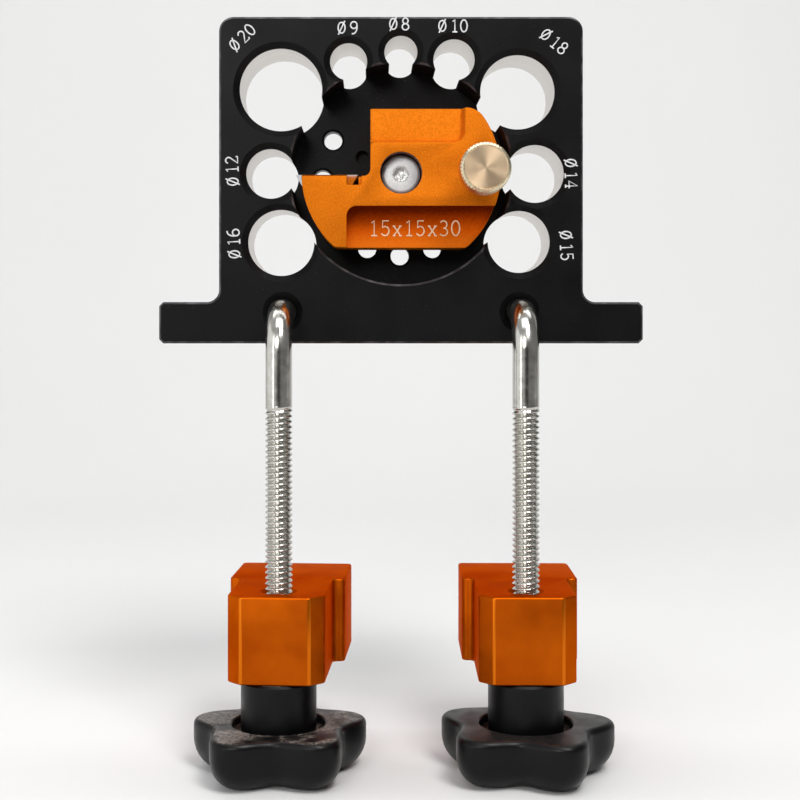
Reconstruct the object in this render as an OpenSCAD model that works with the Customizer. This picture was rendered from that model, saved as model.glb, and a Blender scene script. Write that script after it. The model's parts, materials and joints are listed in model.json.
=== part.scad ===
// Bench dowel making jig: a bored guide plate with a swivelling blade carriage, held on a
// bench edge by two hook bolts with clamp blocks and star knobs.
// X runs to the right, Y into the plate and Z up. The origin is the middle of the bench face.

/* [Guide plate] */
// Width of the plate above its foot
plate_w = 88; // [86:1:100]
// Height of the plate from the bench face
plate_h = 79; // [78:1:95]
// Thickness of the plate and its foot, front to back
plate_t = 20; // [19.5:0.5:26]
// Width of the foot
foot_w = 117; // [105:1:140]
// Height of the foot
foot_h = 10; // [8:0.5:11]
// Radius of the two top corners
top_corner_r = 3.5; // [2:0.5:5]
// Radius of the inner corners above the foot
foot_fillet_r = 3; // [2:0.5:4]
// Corner cut at the ends of the foot
foot_corner_cut = 1; // [0.6:0.1:2]
// Broken edge round the plate's faces
edge_chamfer = 0.5; // [0.3:0.1:0.6]

/* [Guide bores] */
// Bore for the smallest dowel
bore_1_d = 8; // [7.5:0.5:8.5]
// Second bore
bore_2_d = 9; // [8.5:0.5:9.5]
// Third bore
bore_3_d = 10; // [9.5:0.5:10.5]
// Fourth bore, where the blade stands
bore_4_d = 12; // [11:0.5:12.5]
// Fifth bore
bore_5_d = 14; // [13:0.5:14.5]
// Sixth bore
bore_6_d = 15; // [14:0.5:15.5]
// Seventh bore
bore_7_d = 16; // [15:0.5:16.5]
// Eighth bore
bore_8_d = 18; // [17:0.5:18.5]
// Bore for the largest dowel
bore_9_d = 20; // [19:0.5:20.5]
// Radius round the pivot of the circle that every bore touches from outside
cutting_r = 25.5; // [25.5:0.1:26]
// Lead-in cut at the front of each bore
mouth_chamfer = 1.5; // [1:0.1:1.6]

/* [Pocket] */
// Height of the carriage pivot above the bench face
pivot_up = 41.1; // [40.5:0.1:43]
// Radius of the round pocket
pocket_r = 26.8; // [26.3:0.1:27]
// Depth of the pocket from the front face
pocket_depth = 15; // [14.5:0.1:15.3]
// Radius of the ring of index holes
index_r = 19.4; // [19:0.1:19.8]
// Diameter of an index hole
index_d = 4.6; // [4.2:0.1:4.8]
// Width of the lead-in at an index hole
index_lead = 0.5; // [0.3:0.1:0.7]
// Diameter of the blind hole in the pocket floor
blind_d = 3.4; // [3:0.1:4]
// Distance of the blind hole from the pivot
blind_r = 10.9; // [10:0.1:11.5]
// Depth of the blind hole
blind_depth = 2.5; // [1.5:0.1:3.5]

/* [Blade carriage] */
// Radius of the carriage's round outline
carriage_r = 24; // [23.4:0.1:24.2]
// How far the carriage stands in front of the plate
carriage_proud = 1.8; // [1.6:0.1:2.2]
// Height of the flat top edge above the pivot
carriage_top = 15.7; // [14.5:0.1:16]
// Depth of the flat bottom edge below the pivot
carriage_bottom = 17.9; // [17:0.1:19]
// Radius where the flat top edge runs into the round
carriage_top_r = 5; // [4:0.1:6]
// Radius where the flat bottom edge runs into the round
carriage_low_r = 1.8; // [1:0.1:3]
// Distance of the body's left side from the pivot
body_left = 7.4; // [7:0.1:8]
// Radius of the corner between body and arm
arm_corner_r = 1.7; // [1:0.1:2]
// How far the arm's lip lies below the pivot
arm_drop = 0.75; // [0.6:0.05:1]
// Thickness of the lip in front of the cutter
lip_t = 1.5; // [1.2:0.1:1.6]
// Gap between the cutter and the side wall of its seat
seat_gap = 0.15; // [0.1:0.05:0.3]
// Width of the chip notch beside the cutter
notch_w = 3.5; // [3:0.1:4]
// Depth of the chip notch from the carriage's face
notch_depth = 2.5; // [2:0.1:3]
// Depth of the upper step
step_depth = 2.5; // [1.5:0.1:3]
// Height of the upper step
step_h = 8.4; // [7.5:0.1:9]
// Width of the upper step
step_w = 22.8; // [22:0.1:23.4]
// Corner radius of the upper step
step_r = 2.6; // [1.5:0.1:3]
// How far the upper step's walls lean back from its floor to the face
step_lean = 0.8; // [0.4:0.1:1.2]
// Radius of the face's corner at the open end of the upper step
step_end_r = 1.1; // [0.6:0.1:1.6]
// Depth of the lower recess
recess_depth = 4.5; // [3:0.1:6]
// Height of the lower recess
recess_h = 9.9; // [9:0.1:10.5]
// Distance of the lower recess's left side from the pivot
recess_left = 13.1; // [12:0.1:14]
// Corner radius of the lower recess
recess_r = 2.4; // [1.5:0.1:3]

/* [Cutter] */
// Side of the square cutter
cutter_side = 15; // [14.8:0.1:15]
// Thickness of the cutter
cutter_t = 2.5; // [2:0.1:3]
// Relief angle of the cutter's edges in degrees
cutter_relief = 30; // [20:1:35]
// How far the cutting face lies below the pivot
cutter_drop = 0.4; // [0.2:0.05:0.5]
// Gap between the cutting edge and the bore that it serves
cutter_gap = 0.05; // [0.03:0.01:0.1]
// Thread of the cutter screw
cutter_screw_d = 4; // [3.5:0.1:4.2]
// Length of the cutter screw
cutter_screw_l = 9; // [8:0.5:11]
// Head of the cutter screw
cutter_head_d = 6.6; // [6:0.1:7]
// Socket of the cutter screw, across its corners
cutter_socket_d = 2.9; // [2.4:0.1:3]
// Depth of that socket
cutter_socket_depth = 1.5; // [1:0.1:1.8]

/* [Pivot screw] */
// Head diameter
pivot_head_d = 9.5; // [9:0.1:9.8]
// Head height
pivot_head_h = 3; // [2.6:0.1:3.4]
// Broken edge of the head
pivot_head_chamfer = 0.8; // [0.4:0.1:1]
// Hexagon socket, across its flats
pivot_socket_af = 3; // [2.5:0.5:4]
// Depth of the socket
pivot_socket_depth = 2; // [1.5:0.1:2.4]
// Width of the lead-in round the socket's corners
pivot_socket_lead = 0.3; // [0.2:0.1:0.5]
// Shoulder diameter
shoulder_d = 6.5; // [6:0.1:6.6]
// Depth of the head's top below the carriage's face
pivot_sink = 4.4; // [4:0.1:4.8]
// Width of the gap round the head
counterbore_gap = 0.25; // [0.2:0.05:0.35]
// Thread diameter
pivot_thread_d = 5; // [4.5:0.1:5.4]
// Thickness of the wave washer
washer_t = 0.4; // [0.3:0.05:0.5]

/* [Index thumbscrew] */
// Knob diameter
thumb_d = 12; // [11:0.1:12]
// Knob height
thumb_h = 8; // [6:0.5:10]
// Broken edge of the knob
thumb_chamfer = 0.8; // [0.5:0.1:1]
// Stem diameter
stem_d = 6; // [5.5:0.1:6.2]
// Plain point that enters an index hole
point_l = 5; // [4.5:0.1:5]
// Broken edge of the point
point_chamfer = 0.4; // [0.2:0.1:0.6]
// Height of the point above the pocket floor when it is backed off
point_lift = 0.3; // [0.2:0.05:0.4]
// Travel of the screw from backed off to locked
point_travel = 4.8; // [4.5:0.1:4.8]
// Gap under the knob when it is locked
thumb_gap = 0.3; // [0.2:0.05:0.5]

/* [Hook bolts] */
// Distance between the two hook holes
bolt_spacing = 57.2; // [54:0.1:60]
// Height of the hook holes above the bench face
hook_up = 7.6; // [7.4:0.1:7.8]
// Lead-in cut round each hook hole
hook_chamfer = 1.7; // [1.4:0.1:2]
// Plain rod diameter
rod_d = 6.2; // [5.8:0.1:6.2]
// Thread diameter
thread_d = 6.35; // [6.3:0.05:6.6]
// Distance of the hanging leg in front of the plate
leg_front = 14.7; // [13:0.1:16]
// Radius of the bend at the middle of the rod
bend_r = 9.5; // [8:0.1:10]
// Depth of the top of the thread below the bench face
thread_start = 14; // [8:0.5:16]
// Length over which the thread runs out into the plain rod
thread_runout = 1; // [0.5:0.1:2]
// Depth of the bolt's end below the bench face
bolt_end = 97; // [95:0.5:98]
// Broken edge of the bolt's end
bolt_chamfer = 0.8; // [0.4:0.1:1]
// How far the hook's end stays inside the plate's back face
hook_end_in = 0.5; // [0.3:0.1:2]

/* [Clamp blocks] */
// Thickness of the board between plate and clamp blocks
bench_gap = 57; // [56:0.5:60]
// Height of a clamp block
block_h = 20; // [18:0.5:20]
// Width of the front post
post_w = 22.4; // [20:0.1:24]
// Front of the post ahead of the bolt
post_front = 8; // [7:0.1:9]
// Corner cut of the post
post_chamfer = 4; // [3:0.1:4.5]
// Width of the rear jaw
jaw_w = 28; // [26:0.1:30]
// Front of the rear jaw behind the bolt
jaw_behind = 16; // [15:0.1:18]
// Length of the rear jaw, front to back
jaw_l = 22; // [18:0.5:26]
// Broken edges of the block
block_edge = 0.5; // [0.3:0.1:0.8]
// Lead-in at both ends of the block's bolt hole
block_lead = 1.1; // [0.6:0.1:1.4]
// Turn of the left block on its bolt, seen from above, in degrees
left_block_turn = -3.7; // [-6:0.1:6]
// Turn of the right block on its bolt, seen from above, in degrees
right_block_turn = -0.9; // [-6:0.1:6]

/* [Star knobs] */
// Radius over the lobes
knob_r = 21; // [19:0.5:22]
// Depth of the valleys between the lobes
lobe_depth = 5.2; // [4:0.1:6]
// Height of the lobed head
head_h = 11.6; // [10:0.1:13]
// Radius of the upper edge of the lobes
head_top_r = 1.6; // [1:0.1:2.6]
// Radius of the lower edge of the lobes
head_low_r = 7; // [5:0.1:8]
// Hub diameter
hub_d = 17.5; // [16:0.1:18]
// Length of the hub between block and lobes
hub_l = 10.2; // [9:0.1:12]
// Width of the groove round the hub
groove_w = 2.1; // [1.5:0.1:2.4]
// Depth of that groove
groove_depth = 1.8; // [1:0.1:2.5]
// Diameter of the threaded insert
insert_d = 10; // [9:0.1:11]
// Length of the threaded insert
insert_l = 12; // [10:0.5:14]
// Gap between a clamp block and its knob
hub_gap = 0.1; // [0.05:0.05:0.2]
// Turn of the left knob from a valley facing forward, in degrees
left_knob_turn = 0; // [-36:1:36]
// Turn of the right knob from a valley facing forward, in degrees
right_knob_turn = -10; // [-36:1:36]

/* [Fits] */
// Radial clearance of a pin or rod that turns or slides in a hole
running_fit = 0.05; // [0.03:0.01:0.08]
// Radial clearance of a seated thread
seated_fit = 0.02; // [0.01:0.01:0.04]
// Gap between the carriage's back and the pocket floor
carriage_gap = 0.1; // [0.05:0.01:0.15]

/* [Hidden] */

$fn = 96;
hull_fn = 32;
overrun = 1;
lobes = 5;

black_finish = [0.09, 0.09, 0.1];
orange_finish = [0.91, 0.47, 0.08];
steel_finish = [0.75, 0.75, 0.77];
carbide_finish = [0.55, 0.56, 0.58];
brass_finish = [0.79, 0.64, 0.38];

// The plate's faces
plate_front = -plate_t / 2;
plate_back = plate_t / 2;
pocket_floor = plate_front + pocket_depth;

// Each bore with the direction from the pivot in which it lies, in degrees
bore_sizes = [
  bore_1_d, bore_2_d, bore_3_d, bore_4_d, bore_5_d, bore_6_d, bore_7_d, bore_8_d, bore_9_d
];
bore_angles = [90, 115, 65, 180, 0, -30, 210, 35, 145];
blind_angle = 150;

// The carriage's faces
carriage_front = plate_front - carriage_proud;
carriage_back = pocket_floor - carriage_gap;
lip_back = carriage_front + lip_t;

// The cutter: its edge, its seat and the middle of its screw
cutter_edge_x = -(cutting_r - cutter_gap);
seat_z = -cutter_drop - cutter_t;
seat_right = cutter_edge_x + cutter_side + seat_gap;
notch_right = cutter_edge_x + cutter_side + notch_w / 4;
step_floor = carriage_front + step_depth;
cutter_screw_x = cutter_edge_x + cutter_side / 2;
cutter_screw_y = lip_back + cutter_side / 2;
cutter_bevel = cutter_t * tan(cutter_relief);

// The pivot screw
pivot_head_y = carriage_front + pivot_sink;
washer_y = pivot_head_y + pivot_head_h;
web_front = washer_y + washer_t + carriage_gap;
head_pocket_d = pivot_head_d + 2 * counterbore_gap;

// The thumbscrew, backed off
point_y = pocket_floor - point_lift;
point_d = index_d - 2 * running_fit;
thumb_back = carriage_front - point_travel - thumb_gap;

// The bolts, blocks and knobs
leg_y = plate_front - leg_front;
bend_y = leg_y + bend_r;
bend_z = hook_up - bend_r;
bolt_hole_d = thread_d + 2 * running_fit;
block_bottom = -bench_gap - block_h;
hub_top = block_bottom - hub_gap;
head_top = hub_top - hub_l;
knob_bottom = head_top - head_h;

// Extrudes an outline drawn in X and Z from y_front backwards
module from_front(y_front, depth) {
  translate([0, y_front + depth, 0]) rotate([90, 0, 0]) linear_extrude(depth) children();
}

// A round bar along Y from one depth to another; end_d makes it a cone
module bar_y(x, z, y_from, y_to, d, end_d = undef) {
  translate([x, y_from, z]) rotate([-90, 0, 0])
    cylinder(d1 = d, d2 = is_undef(end_d) ? d : end_d, h = y_to - y_from);
}

// A hole through the plate with a lead-in cut at the front and a broken back edge
module plate_hole(x, z, d, lead) {
  bar_y(x, z, plate_front - overrun, plate_back + overrun, d);
  bar_y(x, z, plate_front, plate_front + lead, d + 2 * lead, d);
  bar_y(x, z, plate_front - overrun, plate_front, d + 2 * lead);
  bar_y(x, z, plate_back - edge_chamfer, plate_back, d, d + 2 * edge_chamfer);
  bar_y(x, z, plate_back, plate_back + overrun, d + 2 * edge_chamfer);
}

// The plate above its foot, drawn smaller by inset
module plate_outline(inset) {
  half_w = plate_w / 2 - inset;
  corner_z = plate_h - top_corner_r;
  translate([-half_w, foot_h / 2]) square([2 * half_w, corner_z - foot_h / 2]);
  translate([-plate_w / 2 + top_corner_r, foot_h / 2])
    square([plate_w - 2 * top_corner_r, plate_h - inset - foot_h / 2]);
  for (side = [-1, 1]) translate([side * (plate_w / 2 - top_corner_r), corner_z])
    circle(r = top_corner_r - inset, $fn = hull_fn);
}

// The foot, drawn smaller by inset
module foot_outline(inset) {
  half_w = foot_w / 2 - inset;
  low = inset;
  high = foot_h - inset;
  cut = foot_corner_cut;
  polygon([
    [-half_w + cut, low], [half_w - cut, low], [half_w, low + cut], [half_w, high - cut],
    [half_w - cut, high], [-half_w + cut, high], [-half_w, high - cut], [-half_w, low + cut]
  ]);
}

// The inner corner above the foot, with its broken edges
module foot_fillet(side) {
  reach = foot_fillet_r + edge_chamfer;
  centre_x = side * (plate_w / 2 + foot_fillet_r);
  centre_z = foot_h + foot_fillet_r;
  low_x = side > 0 ? plate_w / 2 - edge_chamfer : -plate_w / 2 - foot_fillet_r;
  wide = 2 * reach;
  difference() {
    translate([low_x, plate_front, foot_h - edge_chamfer]) cube([reach, plate_t, reach]);
    bar_y(centre_x, centre_z, plate_front - overrun, plate_back + overrun, 2 * foot_fillet_r);
    bar_y(centre_x, centre_z, plate_front, plate_front + edge_chamfer, wide, 2 * foot_fillet_r);
    bar_y(centre_x, centre_z, plate_back - edge_chamfer, plate_back, 2 * foot_fillet_r, wide);
  }
}

module jig_plate() {
  inner_t = plate_t - 2 * edge_chamfer;
  color(black_finish) difference() {
    union() {
      hull() {
        from_front(plate_front, plate_t) plate_outline(edge_chamfer);
        from_front(plate_front + edge_chamfer, inner_t) plate_outline(0);
      }
      hull() {
        from_front(plate_front, plate_t) foot_outline(edge_chamfer);
        from_front(plate_front + edge_chamfer, inner_t) foot_outline(0);
      }
      for (side = [-1, 1]) foot_fillet(side);
    }
    // The round pocket with its broken rim
    bar_y(0, pivot_up, plate_front - overrun, pocket_floor, 2 * pocket_r);
    bar_y(0, pivot_up, plate_front, plate_front + edge_chamfer, 2 * (pocket_r + edge_chamfer), 2 * pocket_r);
    // The guide bores, and the index hole on the far side of the pivot from each
    for (i = [0:len(bore_sizes) - 1]) {
      reach = cutting_r + bore_sizes[i] / 2;
      along = [cos(bore_angles[i]), sin(bore_angles[i])];
      plate_hole(reach * along.x, pivot_up + reach * along.y, bore_sizes[i], mouth_chamfer);
      translate([-index_r * along.x, 0, -index_r * along.y]) index_hole();
    }
    // The blind hole and the tapped pivot hole
    bar_y(blind_r * cos(blind_angle), pivot_up + blind_r * sin(blind_angle),
      pocket_floor - overrun, pocket_floor + blind_depth, blind_d);
    bar_y(0, pivot_up, pocket_floor - overrun, plate_back + overrun, pivot_thread_d + 2 * seated_fit);
    // The hook holes
    for (side = [-1, 1]) plate_hole(side * bolt_spacing / 2, hook_up, rod_d + 2 * running_fit, hook_chamfer);
  }
}

// One index hole, at the pivot's height, through the pocket floor
module index_hole() {
  bar_y(0, pivot_up, pocket_floor - overrun, plate_back + overrun, index_d);
  bar_y(0, pivot_up, pocket_floor, pocket_floor + index_lead, index_d + 2 * index_lead, index_d);
}

module pivot_screw() {
  socket_corners = pivot_socket_af / cos(180 / 6);
  mouth_d = socket_corners + 2 * pivot_socket_lead;
  lead_end_y = pivot_head_y + (mouth_d - pivot_socket_af) / 2;
  color(steel_finish) difference() {
    union() {
      bar_y(0, pivot_up, pivot_head_y, pivot_head_y + pivot_head_chamfer,
        pivot_head_d - 2 * pivot_head_chamfer, pivot_head_d);
      bar_y(0, pivot_up, pivot_head_y + pivot_head_chamfer, pivot_head_y + pivot_head_h, pivot_head_d);
      bar_y(0, pivot_up, pivot_head_y + pivot_head_h, pocket_floor, shoulder_d);
      bar_y(0, pivot_up, pocket_floor, plate_back, pivot_thread_d);
    }
    translate([0, pivot_head_y - overrun, pivot_up]) rotate([-90, 0, 0])
      cylinder(d = socket_corners, h = pivot_socket_depth + overrun, $fn = 6);
    bar_y(0, pivot_up, pivot_head_y, lead_end_y, mouth_d, pivot_socket_af);
  }
}

module wave_washer() {
  color(steel_finish) difference() {
    bar_y(0, pivot_up, washer_y, washer_y + washer_t, pivot_head_d);
    bar_y(0, pivot_up, washer_y - overrun, washer_y + washer_t + overrun, shoulder_d + 2 * running_fit);
  }
}

// Rounds the corner where a flat edge of the carriage runs into its round outline.
// along and across are the signs of the corner's X and Z, and flat is the edge's distance.
module corner_waste(along, across, flat, r) {
  centre = [along * sqrt(pow(carriage_r - r, 2) - pow(flat - r, 2)), across * (flat - r)];
  outer = (carriage_r + overrun) / carriage_r;
  corner = [along * sqrt(pow(carriage_r, 2) - pow(flat, 2)), across * flat];
  round_end = centre * carriage_r / (carriage_r - r);
  difference() {
    polygon([
      centre, [centre.x, across * flat], [centre.x, across * (flat + overrun)],
      corner * outer, round_end * outer, round_end
    ]);
    translate(centre) circle(r = r);
  }
}

module carriage_outline() {
  difference() {
    intersection() {
      circle(r = carriage_r);
      translate([-carriage_r, -carriage_bottom]) square([2 * carriage_r, carriage_bottom + carriage_top]);
    }
    difference() {
      translate([-carriage_r - overrun, -arm_drop])
        square([carriage_r + overrun - body_left, carriage_top + arm_drop + overrun]);
      difference() {
        translate([-body_left - arm_corner_r, -arm_drop]) square(arm_corner_r);
        translate([-body_left - arm_corner_r, -arm_drop + arm_corner_r]) circle(r = arm_corner_r);
      }
    }
    corner_waste(1, 1, carriage_top, carriage_top_r);
    corner_waste(1, -1, carriage_bottom, carriage_low_r);
    corner_waste(-1, -1, carriage_bottom, carriage_low_r);
  }
}

// A square recess that is open on two sides and rounded in its inner corner, which lies at
// the origin; the recess lies right of it and above it, or left and below by the signs.
module open_recess(right, up, reach, r) {
  difference() {
    translate([right > 0 ? 0 : -reach, up > 0 ? 0 : -reach]) square(reach);
    difference() {
      translate([right > 0 ? 0 : -r, up > 0 ? 0 : -r]) square(r);
      translate([right * r, up * r]) circle(r = r);
    }
  }
}

// The upper step: its walls lean back towards the face, and the face's corner at its open end
// is rounded
module upper_step() {
  wall_x = step_w - body_left;
  wall_z = carriage_top - step_h;
  hull() {
    from_front(carriage_front - overrun, overrun)
      translate([wall_x, wall_z]) open_recess(-1, 1, 2 * step_w, step_r);
    from_front(carriage_front, step_depth)
      translate([wall_x - step_lean, wall_z + step_lean]) open_recess(-1, 1, 2 * step_w, step_r - step_lean);
  }
  difference() {
    from_front(carriage_front - overrun, step_depth + overrun)
      translate([-body_left - overrun, wall_z - step_end_r])
        square([step_end_r + overrun, step_end_r + 2 * step_lean]);
    bar_y(step_end_r - body_left, wall_z - step_end_r, carriage_front, step_floor + overrun,
      2 * step_end_r, 2 * (step_end_r + step_lean * (1 + overrun / step_depth)));
  }
}

module blade_carriage() {
  seat_left = -carriage_r - overrun;
  tap_d = cutter_screw_d + 2 * seated_fit;
  color(orange_finish) translate([0, 0, pivot_up]) difference() {
    from_front(carriage_front, carriage_back - carriage_front) carriage_outline();
    // The cutter's seat behind the lip, and the chip notch through the lip
    translate([seat_left, lip_back, seat_z])
      cube([seat_right - seat_left, carriage_back + overrun - lip_back, cutter_t + overrun]);
    translate([notch_right - notch_w, carriage_front - overrun, seat_z])
      cube([notch_w, notch_depth + overrun, cutter_t + overrun]);
    // The upper step and the lower recess in the face
    upper_step();
    from_front(carriage_front - overrun, recess_depth + overrun)
      translate([-recess_left, recess_h - carriage_bottom]) open_recess(1, -1, 2 * carriage_r, recess_r);
    // The pivot's counterbore and bore
    bar_y(0, 0, carriage_front - overrun, web_front, head_pocket_d);
    bar_y(0, 0, web_front - overrun, carriage_back + overrun, shoulder_d + 2 * running_fit);
    // The thumbscrew's hole
    bar_y(index_r, 0, carriage_front - overrun, carriage_back + overrun, stem_d + 2 * running_fit);
    // The tapped hole under the cutter
    translate([cutter_screw_x, cutter_screw_y, -cutter_drop - cutter_screw_l - overrun])
      cylinder(d = tap_d, h = cutter_screw_l + overrun);
  }
}

// The cutter's outline from one side, wide at its cutting face and narrow below
module cutter_side_outline() {
  polygon([
    [0, 0], [cutter_side, 0], [cutter_side - cutter_bevel, -cutter_t], [cutter_bevel, -cutter_t]
  ]);
}

// The countersunk head and shank of the cutter screw, hanging from its flat top
module cutter_screw_shape(grow) {
  head_h = (cutter_head_d - cutter_screw_d) / 2;
  rotate([180, 0, 0]) {
    cylinder(d1 = cutter_head_d + 2 * grow, d2 = cutter_screw_d + 2 * grow, h = head_h);
    cylinder(d = cutter_screw_d + 2 * grow, h = cutter_screw_l);
  }
}

module cutter_insert() {
  color(carbide_finish) translate([0, 0, pivot_up]) difference() {
    intersection() {
      translate([cutter_edge_x, lip_back + cutter_side, -cutter_drop]) rotate([90, 0, 0])
        linear_extrude(cutter_side) cutter_side_outline();
      translate([cutter_edge_x, lip_back, -cutter_drop]) rotate([90, 0, 90])
        linear_extrude(cutter_side) cutter_side_outline();
    }
    translate([cutter_screw_x, cutter_screw_y, -cutter_drop]) cutter_screw_shape(seated_fit);
  }
}

module cutter_screw() {
  color(steel_finish) translate([cutter_screw_x, cutter_screw_y, pivot_up - cutter_drop]) difference() {
    cutter_screw_shape(0);
    translate([0, 0, -cutter_socket_depth])
      cylinder(d = cutter_socket_d, h = cutter_socket_depth + overrun, $fn = 6);
  }
}

module index_thumbscrew() {
  thumb_front = thumb_back - thumb_h;
  point_root = point_y - point_l;
  point_end_d = point_d - 2 * point_chamfer;
  thumb_end_d = thumb_d - 2 * thumb_chamfer;
  color(brass_finish) translate([index_r, 0, pivot_up]) {
    bar_y(0, 0, thumb_front, thumb_front + thumb_chamfer, thumb_end_d, thumb_d);
    bar_y(0, 0, thumb_front + thumb_chamfer, thumb_back - thumb_chamfer, thumb_d);
    bar_y(0, 0, thumb_back - thumb_chamfer, thumb_back, thumb_d, thumb_end_d);
    bar_y(0, 0, thumb_back, point_root, stem_d);
    bar_y(0, 0, point_root, point_y - point_chamfer, point_d);
    bar_y(0, 0, point_y - point_chamfer, point_y, point_d, point_end_d);
  }
}

// A bright steel hook bolt: the hook through the plate, the bend and the threaded leg
module hook_bolt(side) {
  thread_top = -thread_start - thread_runout;
  color(steel_finish) translate([side * bolt_spacing / 2, 0, 0]) {
    bar_y(0, hook_up, bend_y, plate_back - hook_end_in, rod_d);
    translate([0, bend_y, bend_z]) rotate([90, 0, -90])
      rotate_extrude(angle = 90) translate([bend_r, 0]) circle(d = rod_d);
    translate([0, leg_y, -thread_start]) cylinder(d = rod_d, h = bend_z + thread_start);
    translate([0, leg_y, thread_top]) cylinder(d1 = thread_d, d2 = rod_d, h = thread_runout);
    translate([0, leg_y, -bolt_end + bolt_chamfer])
      cylinder(d = thread_d, h = thread_top + bolt_end - bolt_chamfer);
    translate([0, leg_y, -bolt_end])
      cylinder(d1 = thread_d - 2 * bolt_chamfer, d2 = thread_d, h = bolt_chamfer);
  }
}

// Outlines of the block's post and jaw seen from above, with the bolt at the origin
module post_outline(inset) {
  half_w = post_w / 2 - inset;
  front = -post_front + inset;
  cut = post_chamfer;
  polygon([
    [-half_w, jaw_behind + block_edge], [-half_w, front + cut], [-half_w + cut, front],
    [half_w - cut, front], [half_w, front + cut], [half_w, jaw_behind + block_edge]
  ]);
}

module jaw_outline(inset) {
  translate([-jaw_w / 2 + inset, jaw_behind + inset]) square([jaw_w - 2 * inset, jaw_l - 2 * inset]);
}

module clamp_block(side, turn) {
  color(orange_finish) translate([side * bolt_spacing / 2, leg_y, block_bottom]) rotate(turn) difference() {
    union() {
      hull() {
        linear_extrude(block_h) post_outline(block_edge);
        translate([0, 0, block_edge]) linear_extrude(block_h - 2 * block_edge) post_outline(0);
      }
      hull() {
        linear_extrude(block_h) jaw_outline(block_edge);
        translate([0, 0, block_edge]) linear_extrude(block_h - 2 * block_edge) jaw_outline(0);
      }
    }
    translate([0, 0, -overrun]) cylinder(d = bolt_hole_d, h = block_h + 2 * overrun);
    translate([0, 0, block_h - block_lead])
      cylinder(d1 = bolt_hole_d, d2 = bolt_hole_d + 2 * block_lead, h = block_lead);
    cylinder(d1 = bolt_hole_d + 2 * block_lead, d2 = bolt_hole_d, h = block_lead);
  }
}

// Rings of the lobed head, from the middle of its underside to the middle of its top. Each is
// how far it lies inside the full outline and its height above the underside.
ring_steps = 4;
lobe_points = 8;
ring_points = lobes * lobe_points;
head_rings = concat(
  [for (i = [0:ring_steps]) [
    head_low_r * (1 - sin(90 * i / ring_steps)), head_low_r * (1 - cos(90 * i / ring_steps))
  ]],
  [for (i = [0:ring_steps / 2]) [
    head_top_r * (1 - cos(180 * i / ring_steps)), head_h - head_top_r * (1 - sin(180 * i / ring_steps))
  ]]
);

// Radius of the wavy outline at an angle from the middle of a lobe
function lobe_radius(a) = knob_r - lobe_depth * (1 - cos(lobes * a)) / 2;

module lobed_head() {
  rings = len(head_rings);
  last = (rings - 1) * ring_points;
  points = [
    for (ring = head_rings) for (i = [0:ring_points - 1])
      let (a = 360 * i / ring_points, r = lobe_radius(a) - ring[0]) [r * cos(a), r * sin(a), ring[1]]
  ];
  sides = [
    for (k = [0:rings - 2]) for (i = [0:ring_points - 1])
      let (low = k * ring_points, next = (i + 1) % ring_points)
        each [
          [low + i, low + ring_points + i, low + ring_points + next],
          [low + i, low + ring_points + next, low + next]
        ]
  ];
  polyhedron(points, concat(
    [[for (i = [0:ring_points - 1]) i]], sides, [[for (i = [ring_points - 1:-1:0]) last + i]]
  ));
}

module star_knob(side, turn) {
  groove_d = hub_d + 2 * groove_w;
  color(black_finish) translate([side * bolt_spacing / 2, leg_y, 0]) difference() {
    union() {
      difference() {
        translate([0, 0, knob_bottom]) rotate([0, 0, 90 + turn]) lobed_head();
        translate([0, 0, head_top - groove_depth]) cylinder(d = groove_d, h = groove_depth + overrun);
      }
      translate([0, 0, head_top - groove_depth - overrun])
        cylinder(d = hub_d, h = hub_l + groove_depth + overrun - block_edge);
      translate([0, 0, hub_top - block_edge])
        cylinder(d1 = hub_d, d2 = hub_d - 2 * block_edge, h = block_edge);
    }
    translate([0, 0, hub_top - insert_l]) cylinder(d = insert_d + 2 * seated_fit, h = insert_l + overrun);
    translate([0, 0, knob_bottom - overrun]) cylinder(d = bolt_hole_d, h = head_h + hub_l + overrun);
  }
}

// The brass insert that the bolt's thread runs in
module knob_insert(side) {
  color(brass_finish) translate([side * bolt_spacing / 2, leg_y, hub_top - insert_l]) difference() {
    cylinder(d = insert_d, h = insert_l);
    translate([0, 0, -overrun]) cylinder(d = bolt_hole_d, h = insert_l + 2 * overrun);
  }
}

jig_plate();
pivot_screw();
wave_washer();
blade_carriage();
cutter_insert();
cutter_screw();
index_thumbscrew();
hook_bolt(-1);  // hook_bolt_left
hook_bolt(1);  // hook_bolt_right
clamp_block(-1, left_block_turn);  // clamp_block_left
clamp_block(1, right_block_turn);  // clamp_block_right
star_knob(-1, left_knob_turn);  // star_knob_left
star_knob(1, right_knob_turn);  // star_knob_right
knob_insert(-1);  // knob_insert_left
knob_insert(1);  // knob_insert_right
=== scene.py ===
# A dowel making jig, seen from the front. A black guide plate with nine bores holds a swivelling blade
# carriage, and two hook bolts with clamp blocks and star knobs hold the plate down by its foot.
# Lengths are in metres. X runs right, Y into the plate and Z up from the foot's underside.
import json
import math

import bmesh
import bpy
from mathutils import Matrix, Vector


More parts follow.
